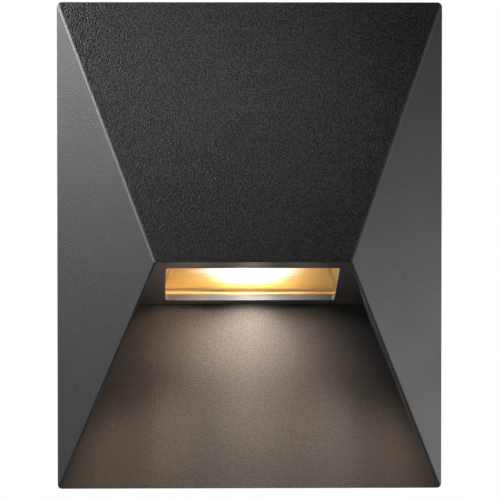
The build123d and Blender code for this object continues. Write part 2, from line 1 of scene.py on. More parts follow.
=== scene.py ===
import bmesh
import bpy
import numpy as np
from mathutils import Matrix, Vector


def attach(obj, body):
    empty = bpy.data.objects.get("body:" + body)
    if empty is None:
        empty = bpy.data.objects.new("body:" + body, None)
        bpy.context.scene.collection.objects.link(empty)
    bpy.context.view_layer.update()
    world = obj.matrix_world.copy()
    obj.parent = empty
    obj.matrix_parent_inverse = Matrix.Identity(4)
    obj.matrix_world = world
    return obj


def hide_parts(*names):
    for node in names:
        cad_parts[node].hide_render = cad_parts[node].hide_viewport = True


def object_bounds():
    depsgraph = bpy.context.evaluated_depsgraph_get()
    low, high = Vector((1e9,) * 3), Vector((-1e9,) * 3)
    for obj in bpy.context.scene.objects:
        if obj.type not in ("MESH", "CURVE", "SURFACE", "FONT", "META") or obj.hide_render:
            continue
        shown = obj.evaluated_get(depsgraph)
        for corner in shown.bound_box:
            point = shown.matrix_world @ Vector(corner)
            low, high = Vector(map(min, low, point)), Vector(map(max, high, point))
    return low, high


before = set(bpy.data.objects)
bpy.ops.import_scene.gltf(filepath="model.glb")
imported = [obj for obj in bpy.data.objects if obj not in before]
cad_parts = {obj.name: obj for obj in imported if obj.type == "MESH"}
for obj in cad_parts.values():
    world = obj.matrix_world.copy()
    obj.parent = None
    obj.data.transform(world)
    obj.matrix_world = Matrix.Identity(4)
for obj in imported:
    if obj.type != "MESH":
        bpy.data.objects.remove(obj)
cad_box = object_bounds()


# Front housing: the die-cast aluminium shell with its three facets, rim and lit recess. Its dark grey
# powder coat dries to a fine pebbled skin, which is deeper on the upper facet and the rim's top. There
# its specks are also painted darker and lighter, a painted light and shade for grazing light on the
# grain. A painted highlight in light grey runs along both upper hip edges. The coat is lighter and
# duller on the rear edge of the window's opening.
RIDGE_REACH = 0.046
RIDGE_LEVEL = -0.0174
RIDGE_HALF = 0.02945
RIM_DEPTH = 0.008
COAT_DARK = (0.002, 0.002, 0.0021)
COAT_LIGHT = (0.052, 0.052, 0.0535)
COAT_HIGHLIGHT = (0.17, 0.17, 0.172)
COAT_FULL = 0.5
COAT_ROUGH = (0.42, 0.52)
COAT_DRIFT = 60.0
COAT_GRAIN = 2550.0
GRAIN_SPAN = (0.483, 0.553)
GRAIN_DARK_SIDE_TO_UPPER = (0.26, 0.0)
GRAIN_LIGHT_SIDE_TO_UPPER = (0.58, 1.0)
GRAIN_DEPTH_SIDE_TO_UPPER = (0.00007, 0.00042)
UPPER_TILT = (0.37, 0.42)
HIP_BAND = (0.00025, 0.0007)
REVEAL_LEVEL = -0.0280
REVEAL_RISE = 0.3
REVEAL_FRONT = -0.9
REVEAL_TONE = 0.36
REVEAL_ROUGH = 0.85


def new_finish(name, colour, rough, metal=0.0):
    """Material with one Principled shader, whose even values are set on its own sockets."""
    finish = bpy.data.materials.new(name)
    finish.use_nodes = True
    shader = finish.node_tree.nodes["Principled BSDF"]
    shader.inputs["Base Color"].default_value = (*colour, 1.0)
    shader.inputs["Roughness"].default_value = rough
    shader.inputs["Metallic"].default_value = metal
    return finish


def put(finish, kind, sockets, **settings):
    """Shader node of a kind: settings are its menu choices, and a socket takes a value or a pattern."""
    node = finish.node_tree.nodes.new("ShaderNode" + kind)
    for key, value in settings.items():
        setattr(node, key, value)
    for key, value in sockets.items():
        if isinstance(value, bpy.types.NodeSocket):
            finish.node_tree.links.new(value, node.inputs[key])
        else:
            node.inputs[key].default_value = value
    return node


def feed(finish, socket, output):
    """Let a pattern drive one socket of the finish's shader."""
    shader = finish.node_tree.nodes["Principled BSDF"]
    finish.node_tree.links.new(output, shader.inputs[socket])


def where(finish, stretch=(1.0, 1.0, 1.0), shift=(0.0, 0.0, 0.0)):
    """Place on the object in metres, stretched and shifted for a pattern."""
    coords = put(finish, "TexCoord", {})
    sockets = {"Vector": coords.outputs["Object"], "Location": shift, "Scale": stretch}
    return put(finish, "Mapping", sockets).outputs["Vector"]


def outward(finish):
    """Way that the surface faces, as a vector of length one in the part's frame."""
    return put(finish, "TexCoord", {}).outputs["Normal"]


def parts_of(finish, vector):
    """X, Y and Z of a vector pattern, each a pattern by itself."""
    return put(finish, "SeparateXYZ", {"Vector": vector}).outputs


def along(finish, vector, way):
    """How far a vector pattern goes along a fixed way."""
    return put(finish, "VectorMath", {0: vector, 1: way}, operation="DOT_PRODUCT").outputs["Value"]


def speckle(finish, place, scale, detail=2.0):
    """Cloudy noise between 0 and 1, with this many spots to a metre."""
    return put(finish, "TexNoise", {"Vector": place, "Scale": scale, "Detail": detail}).outputs["Fac"]


def levels(finish, value, low, high, start=0.0, end=1.0):
    """A pattern from start to end stretched straight onto low to high, and held at both."""
    sockets = {"Value": value, "From Min": start, "From Max": end, "To Min": low, "To Max": high}
    return put(finish, "MapRange", sockets).outputs["Result"]


def combine(finish, operation, first, second=0.0):
    """Two patterns, or a pattern and a number, joined by one sum. Some sums need the first alone."""
    return put(finish, "Math", {0: first, 1: second}, operation=operation).outputs["Value"]


def product(finish, first, *others):
    """Patterns multiplied with each other, so that a mask holds only where all of them hold."""
    for other in others:
        first = combine(finish, "MULTIPLY", first, other)
    return first


def shades(finish, value, *stops):
    """Colour that passes through several stops, each a place on the pattern and its colour."""
    ramp = put(finish, "ValToRGB", {"Fac": value})
    while len(ramp.color_ramp.elements) < len(stops):
        ramp.color_ramp.elements.new(1.0)
    for element, (spot, colour) in zip(ramp.color_ramp.elements, stops):
        element.position = spot
        element.color = (*colour, 1.0)
    return ramp.outputs["Color"]


def relief(finish, height, depth, strength=1.0):
    """Small dents and bumps from a pattern, depth in metres."""
    sockets = {"Height": height, "Distance": depth, "Strength": strength}
    feed(finish, "Normal", put(finish, "Bump", sockets).outputs["Normal"])


def dress(finish, *names):
    """Give CAD nodes a finish."""
    for name in names:
        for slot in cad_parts[name].material_slots:
            slot.material = finish


def hip_plane():
    """Normal and offset of the plane that halves the angle between the upper facet and the right one.

    A facet's normal is the hip's way crossed with the facet's other edge: the ridge, or the rim's upright
    edge. The plane's normal is the difference of both, and the plane goes through the ridge's end.
    """
    right, _, top = cad_box[1]
    ridge_end = Vector((RIDGE_HALF, -RIDGE_REACH, RIDGE_LEVEL))
    hip = Vector((right, -RIM_DEPTH, top)) - ridge_end
    side_facet = hip.cross(Vector((0.0, 0.0, 1.0))).normalized()
    upper_facet = Vector((1.0, 0.0, 0.0)).cross(hip).normalized()
    normal = (side_facet - upper_facet).normalized()
    return normal, normal.dot(ridge_end)


coat = new_finish("powder_coat", COAT_DARK, COAT_ROUGH[0])
on_coat = where(coat)
spot = parts_of(coat, on_coat)
tilt = parts_of(coat, outward(coat))
upper = levels(coat, tilt["Z"], 0.0, 1.0, *UPPER_TILT)

pebbles = speckle(coat, on_coat, COAT_GRAIN, 1.0)
# Painted light and shade: on the upper facet the specks go darker and lighter than on the sides.
dark_end = levels(coat, upper, *GRAIN_DARK_SIDE_TO_UPPER)
light_end = levels(coat, upper, *GRAIN_LIGHT_SIDE_TO_UPPER)
grain = levels(coat, pebbles, dark_end, light_end, *GRAIN_SPAN)

# Painted highlight: a light grey band along both upper hip edges, where they catch the light.
hip_normal, hip_offset = hip_plane()
folded = {"X": combine(coat, "ABSOLUTE", spot["X"]), "Y": spot["Y"], "Z": spot["Z"]}
reach = along(coat, put(coat, "CombineXYZ", folded).outputs["Vector"], hip_normal)
off_hip = combine(coat, "ABSOLUTE", combine(coat, "SUBTRACT", reach, hip_offset))
above_ridge = combine(coat, "GREATER_THAN", spot["Z"], RIDGE_LEVEL)
frontward = combine(coat, "LESS_THAN", tilt["Y"], 0.0)
painted_hips = product(coat, levels(coat, off_hip, 1.0, 0.0, *HIP_BAND), above_ridge, frontward)

# Lighter and duller on the rear edge of the window's opening.
behind_window = combine(coat, "LESS_THAN", spot["Z"], REVEAL_LEVEL)
rising = combine(coat, "GREATER_THAN", tilt["Z"], REVEAL_RISE)
facing_front = combine(coat, "LESS_THAN", tilt["Y"], REVEAL_FRONT)
reveal = product(coat, behind_window, rising, facing_front)

highlight_and_reveal = combine(coat, "MAXIMUM", painted_hips, combine(coat, "MULTIPLY", reveal, REVEAL_TONE))
shade = combine(coat, "MAXIMUM", combine(coat, "MULTIPLY", grain, COAT_FULL), highlight_and_reveal)
coat_stops = (0.0, COAT_DARK), (COAT_FULL, COAT_LIGHT), (1.0, COAT_HIGHLIGHT)
feed(coat, "Base Color", shades(coat, shade, *coat_stops))
drift = levels(coat, speckle(coat, on_coat, COAT_DRIFT), *COAT_ROUGH)
feed(coat, "Roughness", combine(coat, "MAXIMUM", drift, levels(coat, reveal, 0.0, REVEAL_ROUGH)))
relief(coat, pebbles, levels(coat, upper, *GRAIN_DEPTH_SIDE_TO_UPPER))
dress(coat, "front_housing")


# Rear gasket: four strips of black closed-cell foam on the rim's back edge, left open at the
# screw pockets and at the drain. It is die-cut sheet, so its cut cells show as fine pits, painted
# darker inside as a painted shade.
FOAM_PIT = (0.010, 0.010, 0.011)
FOAM_SKIN = (0.034, 0.034, 0.035)
FOAM_ROUGH = 0.9
FOAM_CELLS = 2600.0
FOAM_DEPTH = 0.00015
CELL_SPAN = (0.1, 0.7)


def cells(finish, place, scale, output="Distance"):
    """Distance to the nearest of scattered points, or that point's own colour, so many to a metre."""
    return put(finish, "TexVoronoi", {"Vector": place, "Scale": scale}).outputs[output]


def tint(finish, value, dark, light, start=0.0, end=1.0):
    """Colour that goes from dark to light as the pattern goes from start to end."""
    return shades(finish, value, (start, dark), (end, light))


foam = new_finish("closed_cell_foam", FOAM_SKIN, FOAM_ROUGH)
pits = cells(foam, where(foam), FOAM_CELLS)
# Painted shade: the pits are darker than the skin.
feed(foam, "Base Color", tint(foam, pits, FOAM_PIT, FOAM_SKIN, *CELL_SPAN))
relief(foam, pits, FOAM_DEPTH)
dress(foam, "rear_gasket")


# Light window: a clear toughened pane with ground edges, bedded from inside on a thin seal of amber
# silicone. Its edges are painted opaque in the reflector's gold and glow weakly, most in the middle: a
# painted reflection and painted light, for the light that a lit pane carries to its edges.
CEILING_DROP = 0.0145
CEILING_DEPTH = 0.039
PANE_SLOPE = Vector((0.0, CEILING_DEPTH, -CEILING_DROP)).normalized()
PANE_NORMAL = Vector((0.0, CEILING_DROP, CEILING_DEPTH)).normalized()
BROAD_FACE = 0.9
PANE_GREY = (0.25, 0.27, 0.26)
PANE_COVER = (0.05, 0.5)
PANE_COVER_BLEND = 0.12
PANE_ROUGH = (0.01, 0.07)
PANE_WIPES = 90.0
PANE_WIPE_STRETCH = (1.0, 3.0, 3.0)
EDGE_PAINTED_GOLD = (0.62, 0.40, 0.14)
EDGE_GLOW = (0.30, 0.06)
GATHERED_LIGHT = (1.0, 0.62, 0.20)
GLOW_REACH = (0.0, 0.022)
SEAL_DARK = (0.09, 0.050, 0.015)
SEAL_LIGHT = (0.15, 0.090, 0.030)


def mottled(name, dark, light, rough, scale, depth=None, detail=2.0,
            stretch=(1.0, 1.0, 1.0), metal=0.0, span=(0.3, 0.7)):
    """Finish with one cloudy noise, whose span carries the colour from dark to light.

    Where the roughness is a pair, the noise carries it from one to the other. Where a depth is given,
    the noise also lifts the surface by so many metres.
    """
    finish = new_finish(name, light, float(np.mean(rough)), metal)
    noise = speckle(finish, where(finish, stretch), scale, detail)
    feed(finish, "Base Color", tint(finish, noise, dark, light, *span))
    if np.ndim(rough):
        feed(finish, "Roughness", levels(finish, noise, *rough))
    if depth:
        relief(finish, noise, depth)
    return finish


def glow_from_middle(finish, strength, mask):
    """Painted light: a weak glow in the gathered light's colour where the mask holds, fading to both ends of
    the window.
    """
    shader = finish.node_tree.nodes["Principled BSDF"]
    shader.inputs["Emission Color"].default_value = (*GATHERED_LIGHT, 1.0)
    aside = combine(finish, "ABSOLUTE", parts_of(finish, where(finish))["X"])
    feed(finish, "Emission Strength", product(finish, levels(finish, aside, *strength, *GLOW_REACH), mask))


silicone = mottled("silicone_seal", SEAL_DARK, SEAL_LIGHT, rough=0.8, scale=300.0, depth=0.00004, detail=3.0)
dress(silicone, "window_seal")

glass = new_finish("pane_glass", EDGE_PAINTED_GOLD, PANE_ROUGH[0])
across = combine(glass, "ABSOLUTE", along(glass, outward(glass), PANE_NORMAL))
broad = combine(glass, "GREATER_THAN", across, BROAD_FACE)
grazing = put(glass, "LayerWeight", {"Blend": PANE_COVER_BLEND}).outputs["Facing"]
cover = {"Factor": broad, "A": 1.0, "B": levels(glass, grazing, *PANE_COVER)}
wipes = speckle(glass, where(glass, PANE_WIPE_STRETCH), PANE_WIPES, 3.0)
# Painted reflection: the pane's edges are opaque and painted in the reflector's gold.
feed(glass, "Base Color", tint(glass, broad, EDGE_PAINTED_GOLD, PANE_GREY))
feed(glass, "Alpha", put(glass, "Mix", cover).outputs["Result"])
feed(glass, "Roughness", levels(glass, wipes, *PANE_ROUGH))
# Painted light: the pane's edges glow weakly, most in the middle.
glow_from_middle(glass, EDGE_GLOW, combine(glass, "SUBTRACT", 1.0, broad))
dress(glass, "light_window")


# Reflector: a moulded funnel between pane and LED carrier, metallised in a satin pale gold and lacquered.
# Flow marks run across its walls. Its end walls are darker, a painted shade, and it is darker towards
# the mouth. A painted hot spot of near white lies where the emitter's light falls on the rear wall, and
# the lip's underside by the pane glows weakly as painted light.
GOLD_DARKEST = (0.30, 0.175, 0.05)
GOLD_DEEP = (0.60, 0.335, 0.055)
GOLD_PALE = (0.68, 0.40, 0.085)
GOLD_HOT_SPOT = (0.95, 0.92, 0.85)
GOLD_METAL = 0.15
GOLD_ROUGH = (0.44, 0.54)
FLOW_MARKS = 1500.0
FLOW_STRETCH = (0.015, 1.0, 1.0)
FLOW_SPAN = (0.3, 0.7)
FLOW_FILM = (0.36, 0.56)
FLOW_DEPTH = 0.00001
FLOW_STRENGTH = 0.4
END_WALL_TILT = (0.1, 0.5)
END_WALL_SHADE = 0.5
MOUTH_DARKENING = 0.15
MOUTH_LEVELS = (-0.0262, -0.0210)
HOT_SPOT_GAIN = 0.54
HOT_SPOT_STRETCH = (1.0, 1.0, 2.7)
HOT_SPOT_MIDDLE = (0.0, -0.020, -0.0553)
HOT_SPOT_REACH = (0.0141, 0.0255)
REAR_WALL = -0.5
LACQUER_WEIGHT = (1.0, 0.15)
LACQUER_ROUGH = 0.3
LACQUER_INDEX = 1.6
LIP_GLOW = (0.8, 0.2)

gold = new_finish("satin_gold", GOLD_PALE, GOLD_ROUGH[0], GOLD_METAL)
wall = outward(gold)
facing = parts_of(gold, wall)
marks = speckle(gold, where(gold, FLOW_STRETCH), FLOW_MARKS, 3.0)
end_wall = levels(gold, combine(gold, "ABSOLUTE", facing["X"]), 0.0, 1.0, *END_WALL_TILT)
height = parts_of(gold, where(gold))["Z"]
lit_spot = {0: where(gold, HOT_SPOT_STRETCH), 1: HOT_SPOT_MIDDLE}
from_lit_spot = put(gold, "VectorMath", lit_spot, operation="DISTANCE").outputs["Value"]
# Painted hot spot: near white on the rear wall where the emitter's light falls.
painted_hot_spot = levels(gold, from_lit_spot, HOT_SPOT_GAIN, 0.0, *HOT_SPOT_REACH)

film_and_painted_light = levels(gold, marks, *FLOW_FILM, *FLOW_SPAN)
# Painted shade: the end walls are darker.
film_and_painted_light = combine(gold, "SUBTRACT", film_and_painted_light, combine(gold, "MULTIPLY", end_wall, END_WALL_SHADE))
# Darker towards the mouth.
film_and_painted_light = combine(gold, "SUBTRACT", film_and_painted_light, levels(gold, height, MOUTH_DARKENING, 0.0, *MOUTH_LEVELS))
film_and_painted_light = combine(gold, "ADD", film_and_painted_light, product(gold, painted_hot_spot, combine(gold, "LESS_THAN", facing["Y"], REAR_WALL)))
gold_stops = (0.0, GOLD_DARKEST), (0.35, GOLD_DEEP), (0.6, GOLD_PALE), (1.0, GOLD_HOT_SPOT)
feed(gold, "Base Color", shades(gold, film_and_painted_light, *gold_stops))
feed(gold, "Roughness", levels(gold, marks, *GOLD_ROUGH))
relief(gold, marks, FLOW_DEPTH, FLOW_STRENGTH)

lacquer = gold.node_tree.nodes["Principled BSDF"]
lacquer.inputs["Coat Roughness"].default_value = LACQUER_ROUGH
lacquer.inputs["Coat IOR"].default_value = LACQUER_INDEX
feed(gold, "Coat Weight", levels(gold, end_wall, *LACQUER_WEIGHT))
# Painted light: the lip's underside by the pane glows weakly, most in the middle.
glow_from_middle(gold, LIP_GLOW, combine(gold, "LESS_THAN", along(gold, wall, PANE_NORMAL), -BROAD_FACE))
dress(gold, "reflector")


# LED carrier: a heat spreader bent from 2 mm aluminium sheet in mill finish. The rolling
# lines run along the strip, and handling leaves cloudy dull patches.
MILL_DULL = (0.62, 0.63, 0.65)
MILL_BRIGHT = (0.78, 0.79, 0.80)
MILL_PATCHES = 70.0
ROLLING_LINES = 3000.0
ROLLING_STRETCH = (0.04, 1.0, 1.0)
ROLLING_ROUGH = (0.26, 0.48)
ROLLING_DEPTH = 0.00001

aluminium = mottled("mill_aluminium", MILL_DULL, MILL_BRIGHT, ROLLING_ROUGH[0], MILL_PATCHES,
                    detail=3.0, metal=1.0)
rolling = speckle(aluminium, where(aluminium, ROLLING_STRETCH), ROLLING_LINES, 3.0)
feed(aluminium, "Roughness", levels(aluminium, rolling, *ROLLING_ROUGH))
relief(aluminium, rolling, ROLLING_DEPTH)
dress(aluminium, "led_carrier")


# Thermal pad and LED board: a soft grey filled silicone pad under an aluminium-cored board
# with a glossy white solder mask. Two screws pull the board onto the pad.
PAD_DARK = (0.24, 0.28, 0.33)
PAD_LIGHT = (0.42, 0.46, 0.52)
PAD_SPAN = (0.35, 0.65)
MASK_DARK = (0.80, 0.80, 0.78)
MASK_LIGHT = (0.88, 0.88, 0.86)

pad = mottled("thermal_pad", PAD_DARK, PAD_LIGHT, rough=0.75, scale=4200.0, depth=0.00003, span=PAD_SPAN)
dress(pad, "thermal_pad")
mask = mottled("white_solder_mask", MASK_DARK, MASK_LIGHT, rough=0.28, scale=420.0, depth=0.00002)
dress(mask, "led_board")


# Emitter: one round chip-on-board field of yellow phosphor gel inside a white silicone dam. It is the only
# source in the real light. Small soft lamps in the reflector and below the pane give its beam again, and
# one of them stands for the light that the recess floor throws back. All ride on the lamp body.
DAM_DARK = (0.80, 0.79, 0.74)
DAM_LIGHT = (0.90, 0.89, 0.85)
GEL_PALE = (0.95, 0.78, 0.34)
GEL_DEEP = (0.88, 0.62, 0.18)
GEL_ROUGH = 0.4
GEL_GRAINS = 2400.0
GLOW = (1.0, 0.98, 0.98)
GLOW_STRENGTH = 290.0
PALE_WARM = (1.0, 0.84, 0.69)
WARM = (1.0, 0.79, 0.60)
DEEP_WARM = (1.0, 0.74, 0.53)
AMBER = (1.0, 0.66, 0.42)
WALLWARD = (0.0, 0.5, -0.87)
LEFT_WALLWARD = (-0.45, 0.6, -0.66)
STEEP = (0.0, 0.2, -0.98)
TO_FOOT_LEFT = (-0.022, 0.032, -0.066)
TO_FOOT_RIGHT = (0.022, 0.032, -0.066)
TO_CORNER_LEFT = (-0.030, 0.032, -0.066)
TO_CORNER_RIGHT = (0.030, 0.032, -0.066)
OUTWARD = (0.0, -0.35, -0.94)
RIDGEWARD = (0.0, -0.25, 0.97)
CEILINGWARD = (0.0, -0.15, 0.99)
# Place by the pane (aside, down its slope, below it), aim, spread in degrees, size, power, colour.
WINDOW_LIGHT = {
    "beam_left": ((-0.014, 0.020, -0.005), WALLWARD, 62.0, 0.007, 0.0088, DEEP_WARM),
    "beam_left_side": ((-0.014, 0.012, -0.005), LEFT_WALLWARD, 62.0, 0.011, 0.0056, AMBER),
    "beam_middle": ((0.0, 0.020, -0.005), WALLWARD, 62.0, 0.007, 0.019, PALE_WARM),
    "beam_right_front": ((0.014, 0.012, -0.005), WALLWARD, 62.0, 0.011, 0.0098, DEEP_WARM),
    "beam_bottom": ((0.0, 0.011, 0.0013), STEEP, 60.0, 0.007, 0.028, PALE_WARM),
    "beam_wide": ((0.0, 0.022, 0.0008), STEEP, 120.0, 0.007, 0.035, WARM),
    "beam_foot_left": ((-0.010, 0.011, 0.0013), TO_FOOT_LEFT, 28.0, 0.007, 0.0060, DEEP_WARM),
    "beam_foot_right": ((0.010, 0.011, 0.0013), TO_FOOT_RIGHT, 28.0, 0.007, 0.0066, PALE_WARM),
    "beam_corner_left": ((-0.020, 0.011, 0.0013), TO_CORNER_LEFT, 20.0, 0.007, 0.0032, DEEP_WARM),
    "beam_corner_right": ((0.020, 0.011, 0.0013), TO_CORNER_RIGHT, 20.0, 0.007, 0.0033, DEEP_WARM),
    "beam_out_left": ((-0.014, 0.022, 0.0008), OUTWARD, 100.0, 0.007, 0.064, PALE_WARM),
    "beam_out_right": ((0.014, 0.022, 0.0008), OUTWARD, 100.0, 0.007, 0.080, WARM),
    "beam_ridge": ((0.0, 0.010, 0.009), RIDGEWARD, 140.0, 0.007, 0.00064, WARM),
    "beam_ridge_left": ((-0.016, 0.010, 0.009), RIDGEWARD, 140.0, 0.007, 0.00010, DEEP_WARM),
    "beam_ridge_right": ((0.016, 0.010, 0.009), RIDGEWARD, 140.0, 0.007, 0.00020, DEEP_WARM),
    "bounce_left": ((-0.020, 0.045, 0.029), CEILINGWARD, 110.0, 0.010, 0.0012, DEEP_WARM),
}


def soft_lamp(name, place, aim, size, power, colour=(1.0, 1.0, 1.0), spread=180.0):
    """Square area lamp at a place, facing along aim, hidden from the camera itself."""
    lamp = bpy.data.lights.new(name, "AREA")
    lamp.size = size
    lamp.energy = power
    lamp.color = colour
    lamp.spread = np.radians(spread)
    stand = bpy.data.objects.new(name, lamp)
    stand.location = place
    stand.rotation_euler = Vector(aim).to_track_quat("-Z", "Y").to_euler()
    stand.visible_camera = False
    bpy.context.scene.collection.objects.link(stand)
    return stand


def by_pane(aside, down, below):
    """Place near the pane: the ridge's middle, so far aside, down the pane's slope and below the pane."""
    return Vector((aside, -RIDGE_REACH, RIDGE_LEVEL)) + down * PANE_SLOPE - below * PANE_NORMAL


dam = mottled("silicone_dam", DAM_DARK, DAM_LIGHT, rough=0.5, scale=1400.0, depth=0.00004)
dress(dam, "emitter_dam")

phosphor = new_finish("phosphor_gel", GEL_PALE, GEL_ROUGH)
grains = cells(phosphor, where(phosphor), GEL_GRAINS)
feed(phosphor, "Base Color", tint(phosphor, grains, GEL_PALE, GEL_DEEP, *CELL_SPAN))
gel = phosphor.node_tree.nodes["Principled BSDF"]
gel.inputs["Emission Color"].default_value = (*GLOW, 1.0)
gel.inputs["Emission Strength"].default_value = GLOW_STRENGTH
dress(phosphor, "emitter_phosphor")

for name, (place, aim, spread, size, power, colour) in WINDOW_LIGHT.items():
    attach(soft_lamp(name, by_pane(*place), aim, size, power, colour, spread), "lamp_body")


# Driver: a grey moulded case with two screw tabs, filled to just below its rim with black
# resin that sets glossy and a little uneven.
CASE_DARK = (0.54, 0.54, 0.52)
CASE_LIGHT = (0.66, 0.66, 0.64)
RESIN_DARK = (0.008, 0.008, 0.010)
RESIN_LIGHT = (0.020, 0.020, 0.022)
RESIN_ROUGH = (0.08, 0.22)

case_plastic = mottled("driver_case_plastic", CASE_DARK, CASE_LIGHT, rough=0.5, scale=2600.0, depth=0.00003)
dress(case_plastic, "driver_case")
resin = mottled("potting_resin", RESIN_DARK, RESIN_LIGHT, RESIN_ROUGH, scale=130.0, depth=0.0005)
dress(resin, "driver_potting")


# Terminal block: a natural polyamide body with a hump for each pole, turned brass barrels
# inside, and two slotted clamp screws in each barrel.
POLYAMIDE_DARK = (0.74, 0.72, 0.63)
POLYAMIDE_LIGHT = (0.85, 0.83, 0.76)
BRASS_DARK = (0.66, 0.48, 0.20)
BRASS_LIGHT = (0.84, 0.66, 0.34)
BRASS_ROUGH = (0.2, 0.4)
TURNING_STRETCH = (0.05, 0.05, 1.0)

polyamide = mottled("natural_polyamide", POLYAMIDE_DARK, POLYAMIDE_LIGHT, rough=0.42, scale=260.0,
                    depth=0.00005, detail=3.0)
dress(polyamide, "terminal_body")
brass = mottled("turned_brass", BRASS_DARK, BRASS_LIGHT, BRASS_ROUGH, scale=6000.0, depth=0.00001,
                stretch=TURNING_STRETCH, metal=1.0)
dress(brass, "terminal_barrels")


# Screws and earth washer: cold-headed steel with a domed pan head, a hexagon socket and a rolled
# thread, zinc plated and blue passivated, so they are bright with a faint cool stain. The slotted
# screws of the terminal block are turned, and stay plain.
ZINC_COOL = (0.50, 0.53, 0.58)
ZINC_BRIGHT = (0.70, 0.70, 0.70)
ZINC_ROUGH = (0.24, 0.44)
ZINC_STAIN = 700.0
ZINC_GRAIN = 5000.0
ZINC_DEPTH = 0.00001
SCREW_ROUND = 48
DOME_ROWS = 8
THREAD_ROWS = 7
SOCKET_CORNER = 0.45
SOCKET_CHAMFER = 1.1
SOCKET_LEVELS = (0.4, 0.4, 0.9, 1.0)
DOME_TOP = 0.6
DOME_FOOT = 0.45
HEAD_CHAMFER = 0.96
HEAD_CHAMFER_LEVEL = 0.1
TIP_CHAMFER = 0.12
THREAD_DEPTH = 0.54
THREAD_CREST = 0.12
THREAD_FLANK = 0.72
THREAD_RUN_OUT = 0.4
WELD = 1e-7
SHARP_EDGE = 38.0
LEFT = (-1.0, 0.0, 0.0)
RIGHT = (1.0, 0.0, 0.0)
WALL = (0.0, 1.0, 0.0)
UP_FROM_PANE = tuple(PANE_NORMAL)
DOWN_TO_PANE = tuple(-PANE_NORMAL)
M3 = {"size": 0.003, "pitch": 0.0005, "head_radius": 0.00275, "head_height": 0.0018}
M25 = {"size": 0.0025, "pitch": 0.00045, "head_radius": 0.0022, "head_height": 0.0013}
# Kind, length, and the seats with the way that each head faces.
SCREWS = {
    "side_screws": (M3, 0.0080, {(-0.0572, -0.0036, 0.0): LEFT, (0.0572, -0.0036, 0.0): RIGHT}),
    "carrier_screws": (M3, 0.0060, {(-0.022, -0.028244, 0.003): WALL, (0.022, -0.028244, 0.003): WALL}),
    "driver_screws": (M3, 0.0070, {(-0.0033, -0.015611, 0.022): WALL, (0.0443, -0.015611, 0.022): WALL}),
    "earth_screw": (M3, 0.0064, {(-0.046, -0.011411, 0.003): WALL}),
    "terminal_block_screws": (M25, 0.0154, {
        (-0.03175, -0.007211, 0.022): WALL,
        (-0.02225, -0.007211, 0.022): WALL,
    }),
    "board_screws": (M25, 0.0040, {
        (-0.0115, -0.020032, -0.012119): DOWN_TO_PANE,
        (0.0115, -0.020032, -0.012119): DOWN_TO_PANE,
    }),
    "reflector_screws": (M25, 0.005933, {
        (-0.027, -0.018638, -0.008369): UP_FROM_PANE,
        (0.027, -0.018638, -0.008369): UP_FROM_PANE,
    }),
}


def screw_points(size, pitch, head_radius, head_height, length):
    """Rings of a screw on its seat, from the socket's floor over the head and down to the tip.

    A ring of the socket is a hexagon: its half width over the cosine of the angle to the nearest flat.
    The head's dome is a quarter of an ellipse. A ring of the thread dips below the outer radius by a
    triangle wave with flat crests, of the level in pitches plus the angle in turns.
    """
    angle = np.linspace(0.0, 2.0 * np.pi, SCREW_ROUND, endpoint=False)[:, None]
    ring = np.ones_like(angle)
    corner = SOCKET_CORNER * size
    hexagon = corner * np.cos(np.pi / 6) / np.cos((angle + np.pi / 6) % (np.pi / 3) - np.pi / 6)
    bend = np.linspace(0.0, np.pi / 2, DOME_ROWS)
    dome = head_radius * (DOME_TOP + (1.0 - DOME_TOP) * np.sin(bend))
    dome_level = head_height * (DOME_FOOT + (1.0 - DOME_FOOT) * np.cos(bend))
    tip = TIP_CHAMFER * size
    level = np.linspace(0.0, tip - length, int(THREAD_ROWS * (length - tip) / pitch))[None, :]
    wave = np.abs(2.0 * ((level / pitch + angle / (2.0 * np.pi)) % 1.0) - 1.0)
    run_out = np.clip(-level / pitch - THREAD_RUN_OUT, 0.0, 1.0)
    dip = np.clip((wave - THREAD_CREST) / THREAD_FLANK, 0.0, 1.0) * run_out
    thread = size / 2 - THREAD_DEPTH * pitch * dip
    socket_radii = [0.0 * ring, hexagon, hexagon, SOCKET_CHAMFER * corner * ring]
    head_radii = [dome * ring, head_radius * ring, HEAD_CHAMFER * head_radius * ring]
    shank_radii = [thread, (size / 2 - tip) * ring, 0.0 * ring]
    radius = np.hstack(socket_radii + head_radii + shank_radii)
    socket_levels = head_height * np.array(SOCKET_LEVELS)
    rim_levels = [HEAD_CHAMFER_LEVEL * head_height, 0.0]
    row_levels = np.concatenate([socket_levels, dome_level, rim_levels, level[0], [-length, -length]])
    height = row_levels[None, :] * ring
    return np.stack([radius * np.cos(angle), radius * np.sin(angle), height], axis=-1)


def set_up(points, seat, axis):
    """Points carried to a seat, with their third axis along the given one."""
    third = np.array(axis) / np.linalg.norm(axis)
    first = np.cross(third, np.eye(3)[np.argmin(np.abs(third))])
    first /= np.linalg.norm(first)
    return np.array(seat) + points @ np.array([first, np.cross(third, first), third])


def grid_mesh(name, grids):
    """Skin over grids of points, each closed on itself along its first direction and at its poles.

    A face joins a point, the next one in its row and the same two in the row beside it.
    """
    copies, rows, steps = grids.shape[:3]
    counts = np.arange(copies), np.arange(rows), np.arange(steps - 1)
    copy, row, step = np.meshgrid(*counts, indexing="ij")
    here = (copy * rows + row) * steps + step
    beside = (copy * rows + (row + 1) % rows) * steps + step
    faces = np.stack([here, here + 1, beside + 1, beside], axis=-1).reshape(-1, 4)
    mesh = bpy.data.meshes.new(name)
    mesh.from_pydata(grids.reshape(-1, 3).tolist(), [], faces.tolist())
    weld = bmesh.new()
    weld.from_mesh(mesh)
    bmesh.ops.remove_doubles(weld, verts=weld.verts, dist=WELD)
    weld.to_mesh(mesh)
    weld.free()
    mesh.shade_smooth()
    mesh.set_sharp_from_angle(angle=np.radians(SHARP_EDGE))
    piece = bpy.data.objects.new(name, mesh)
    bpy.context.scene.collection.objects.link(piece)
    return piece


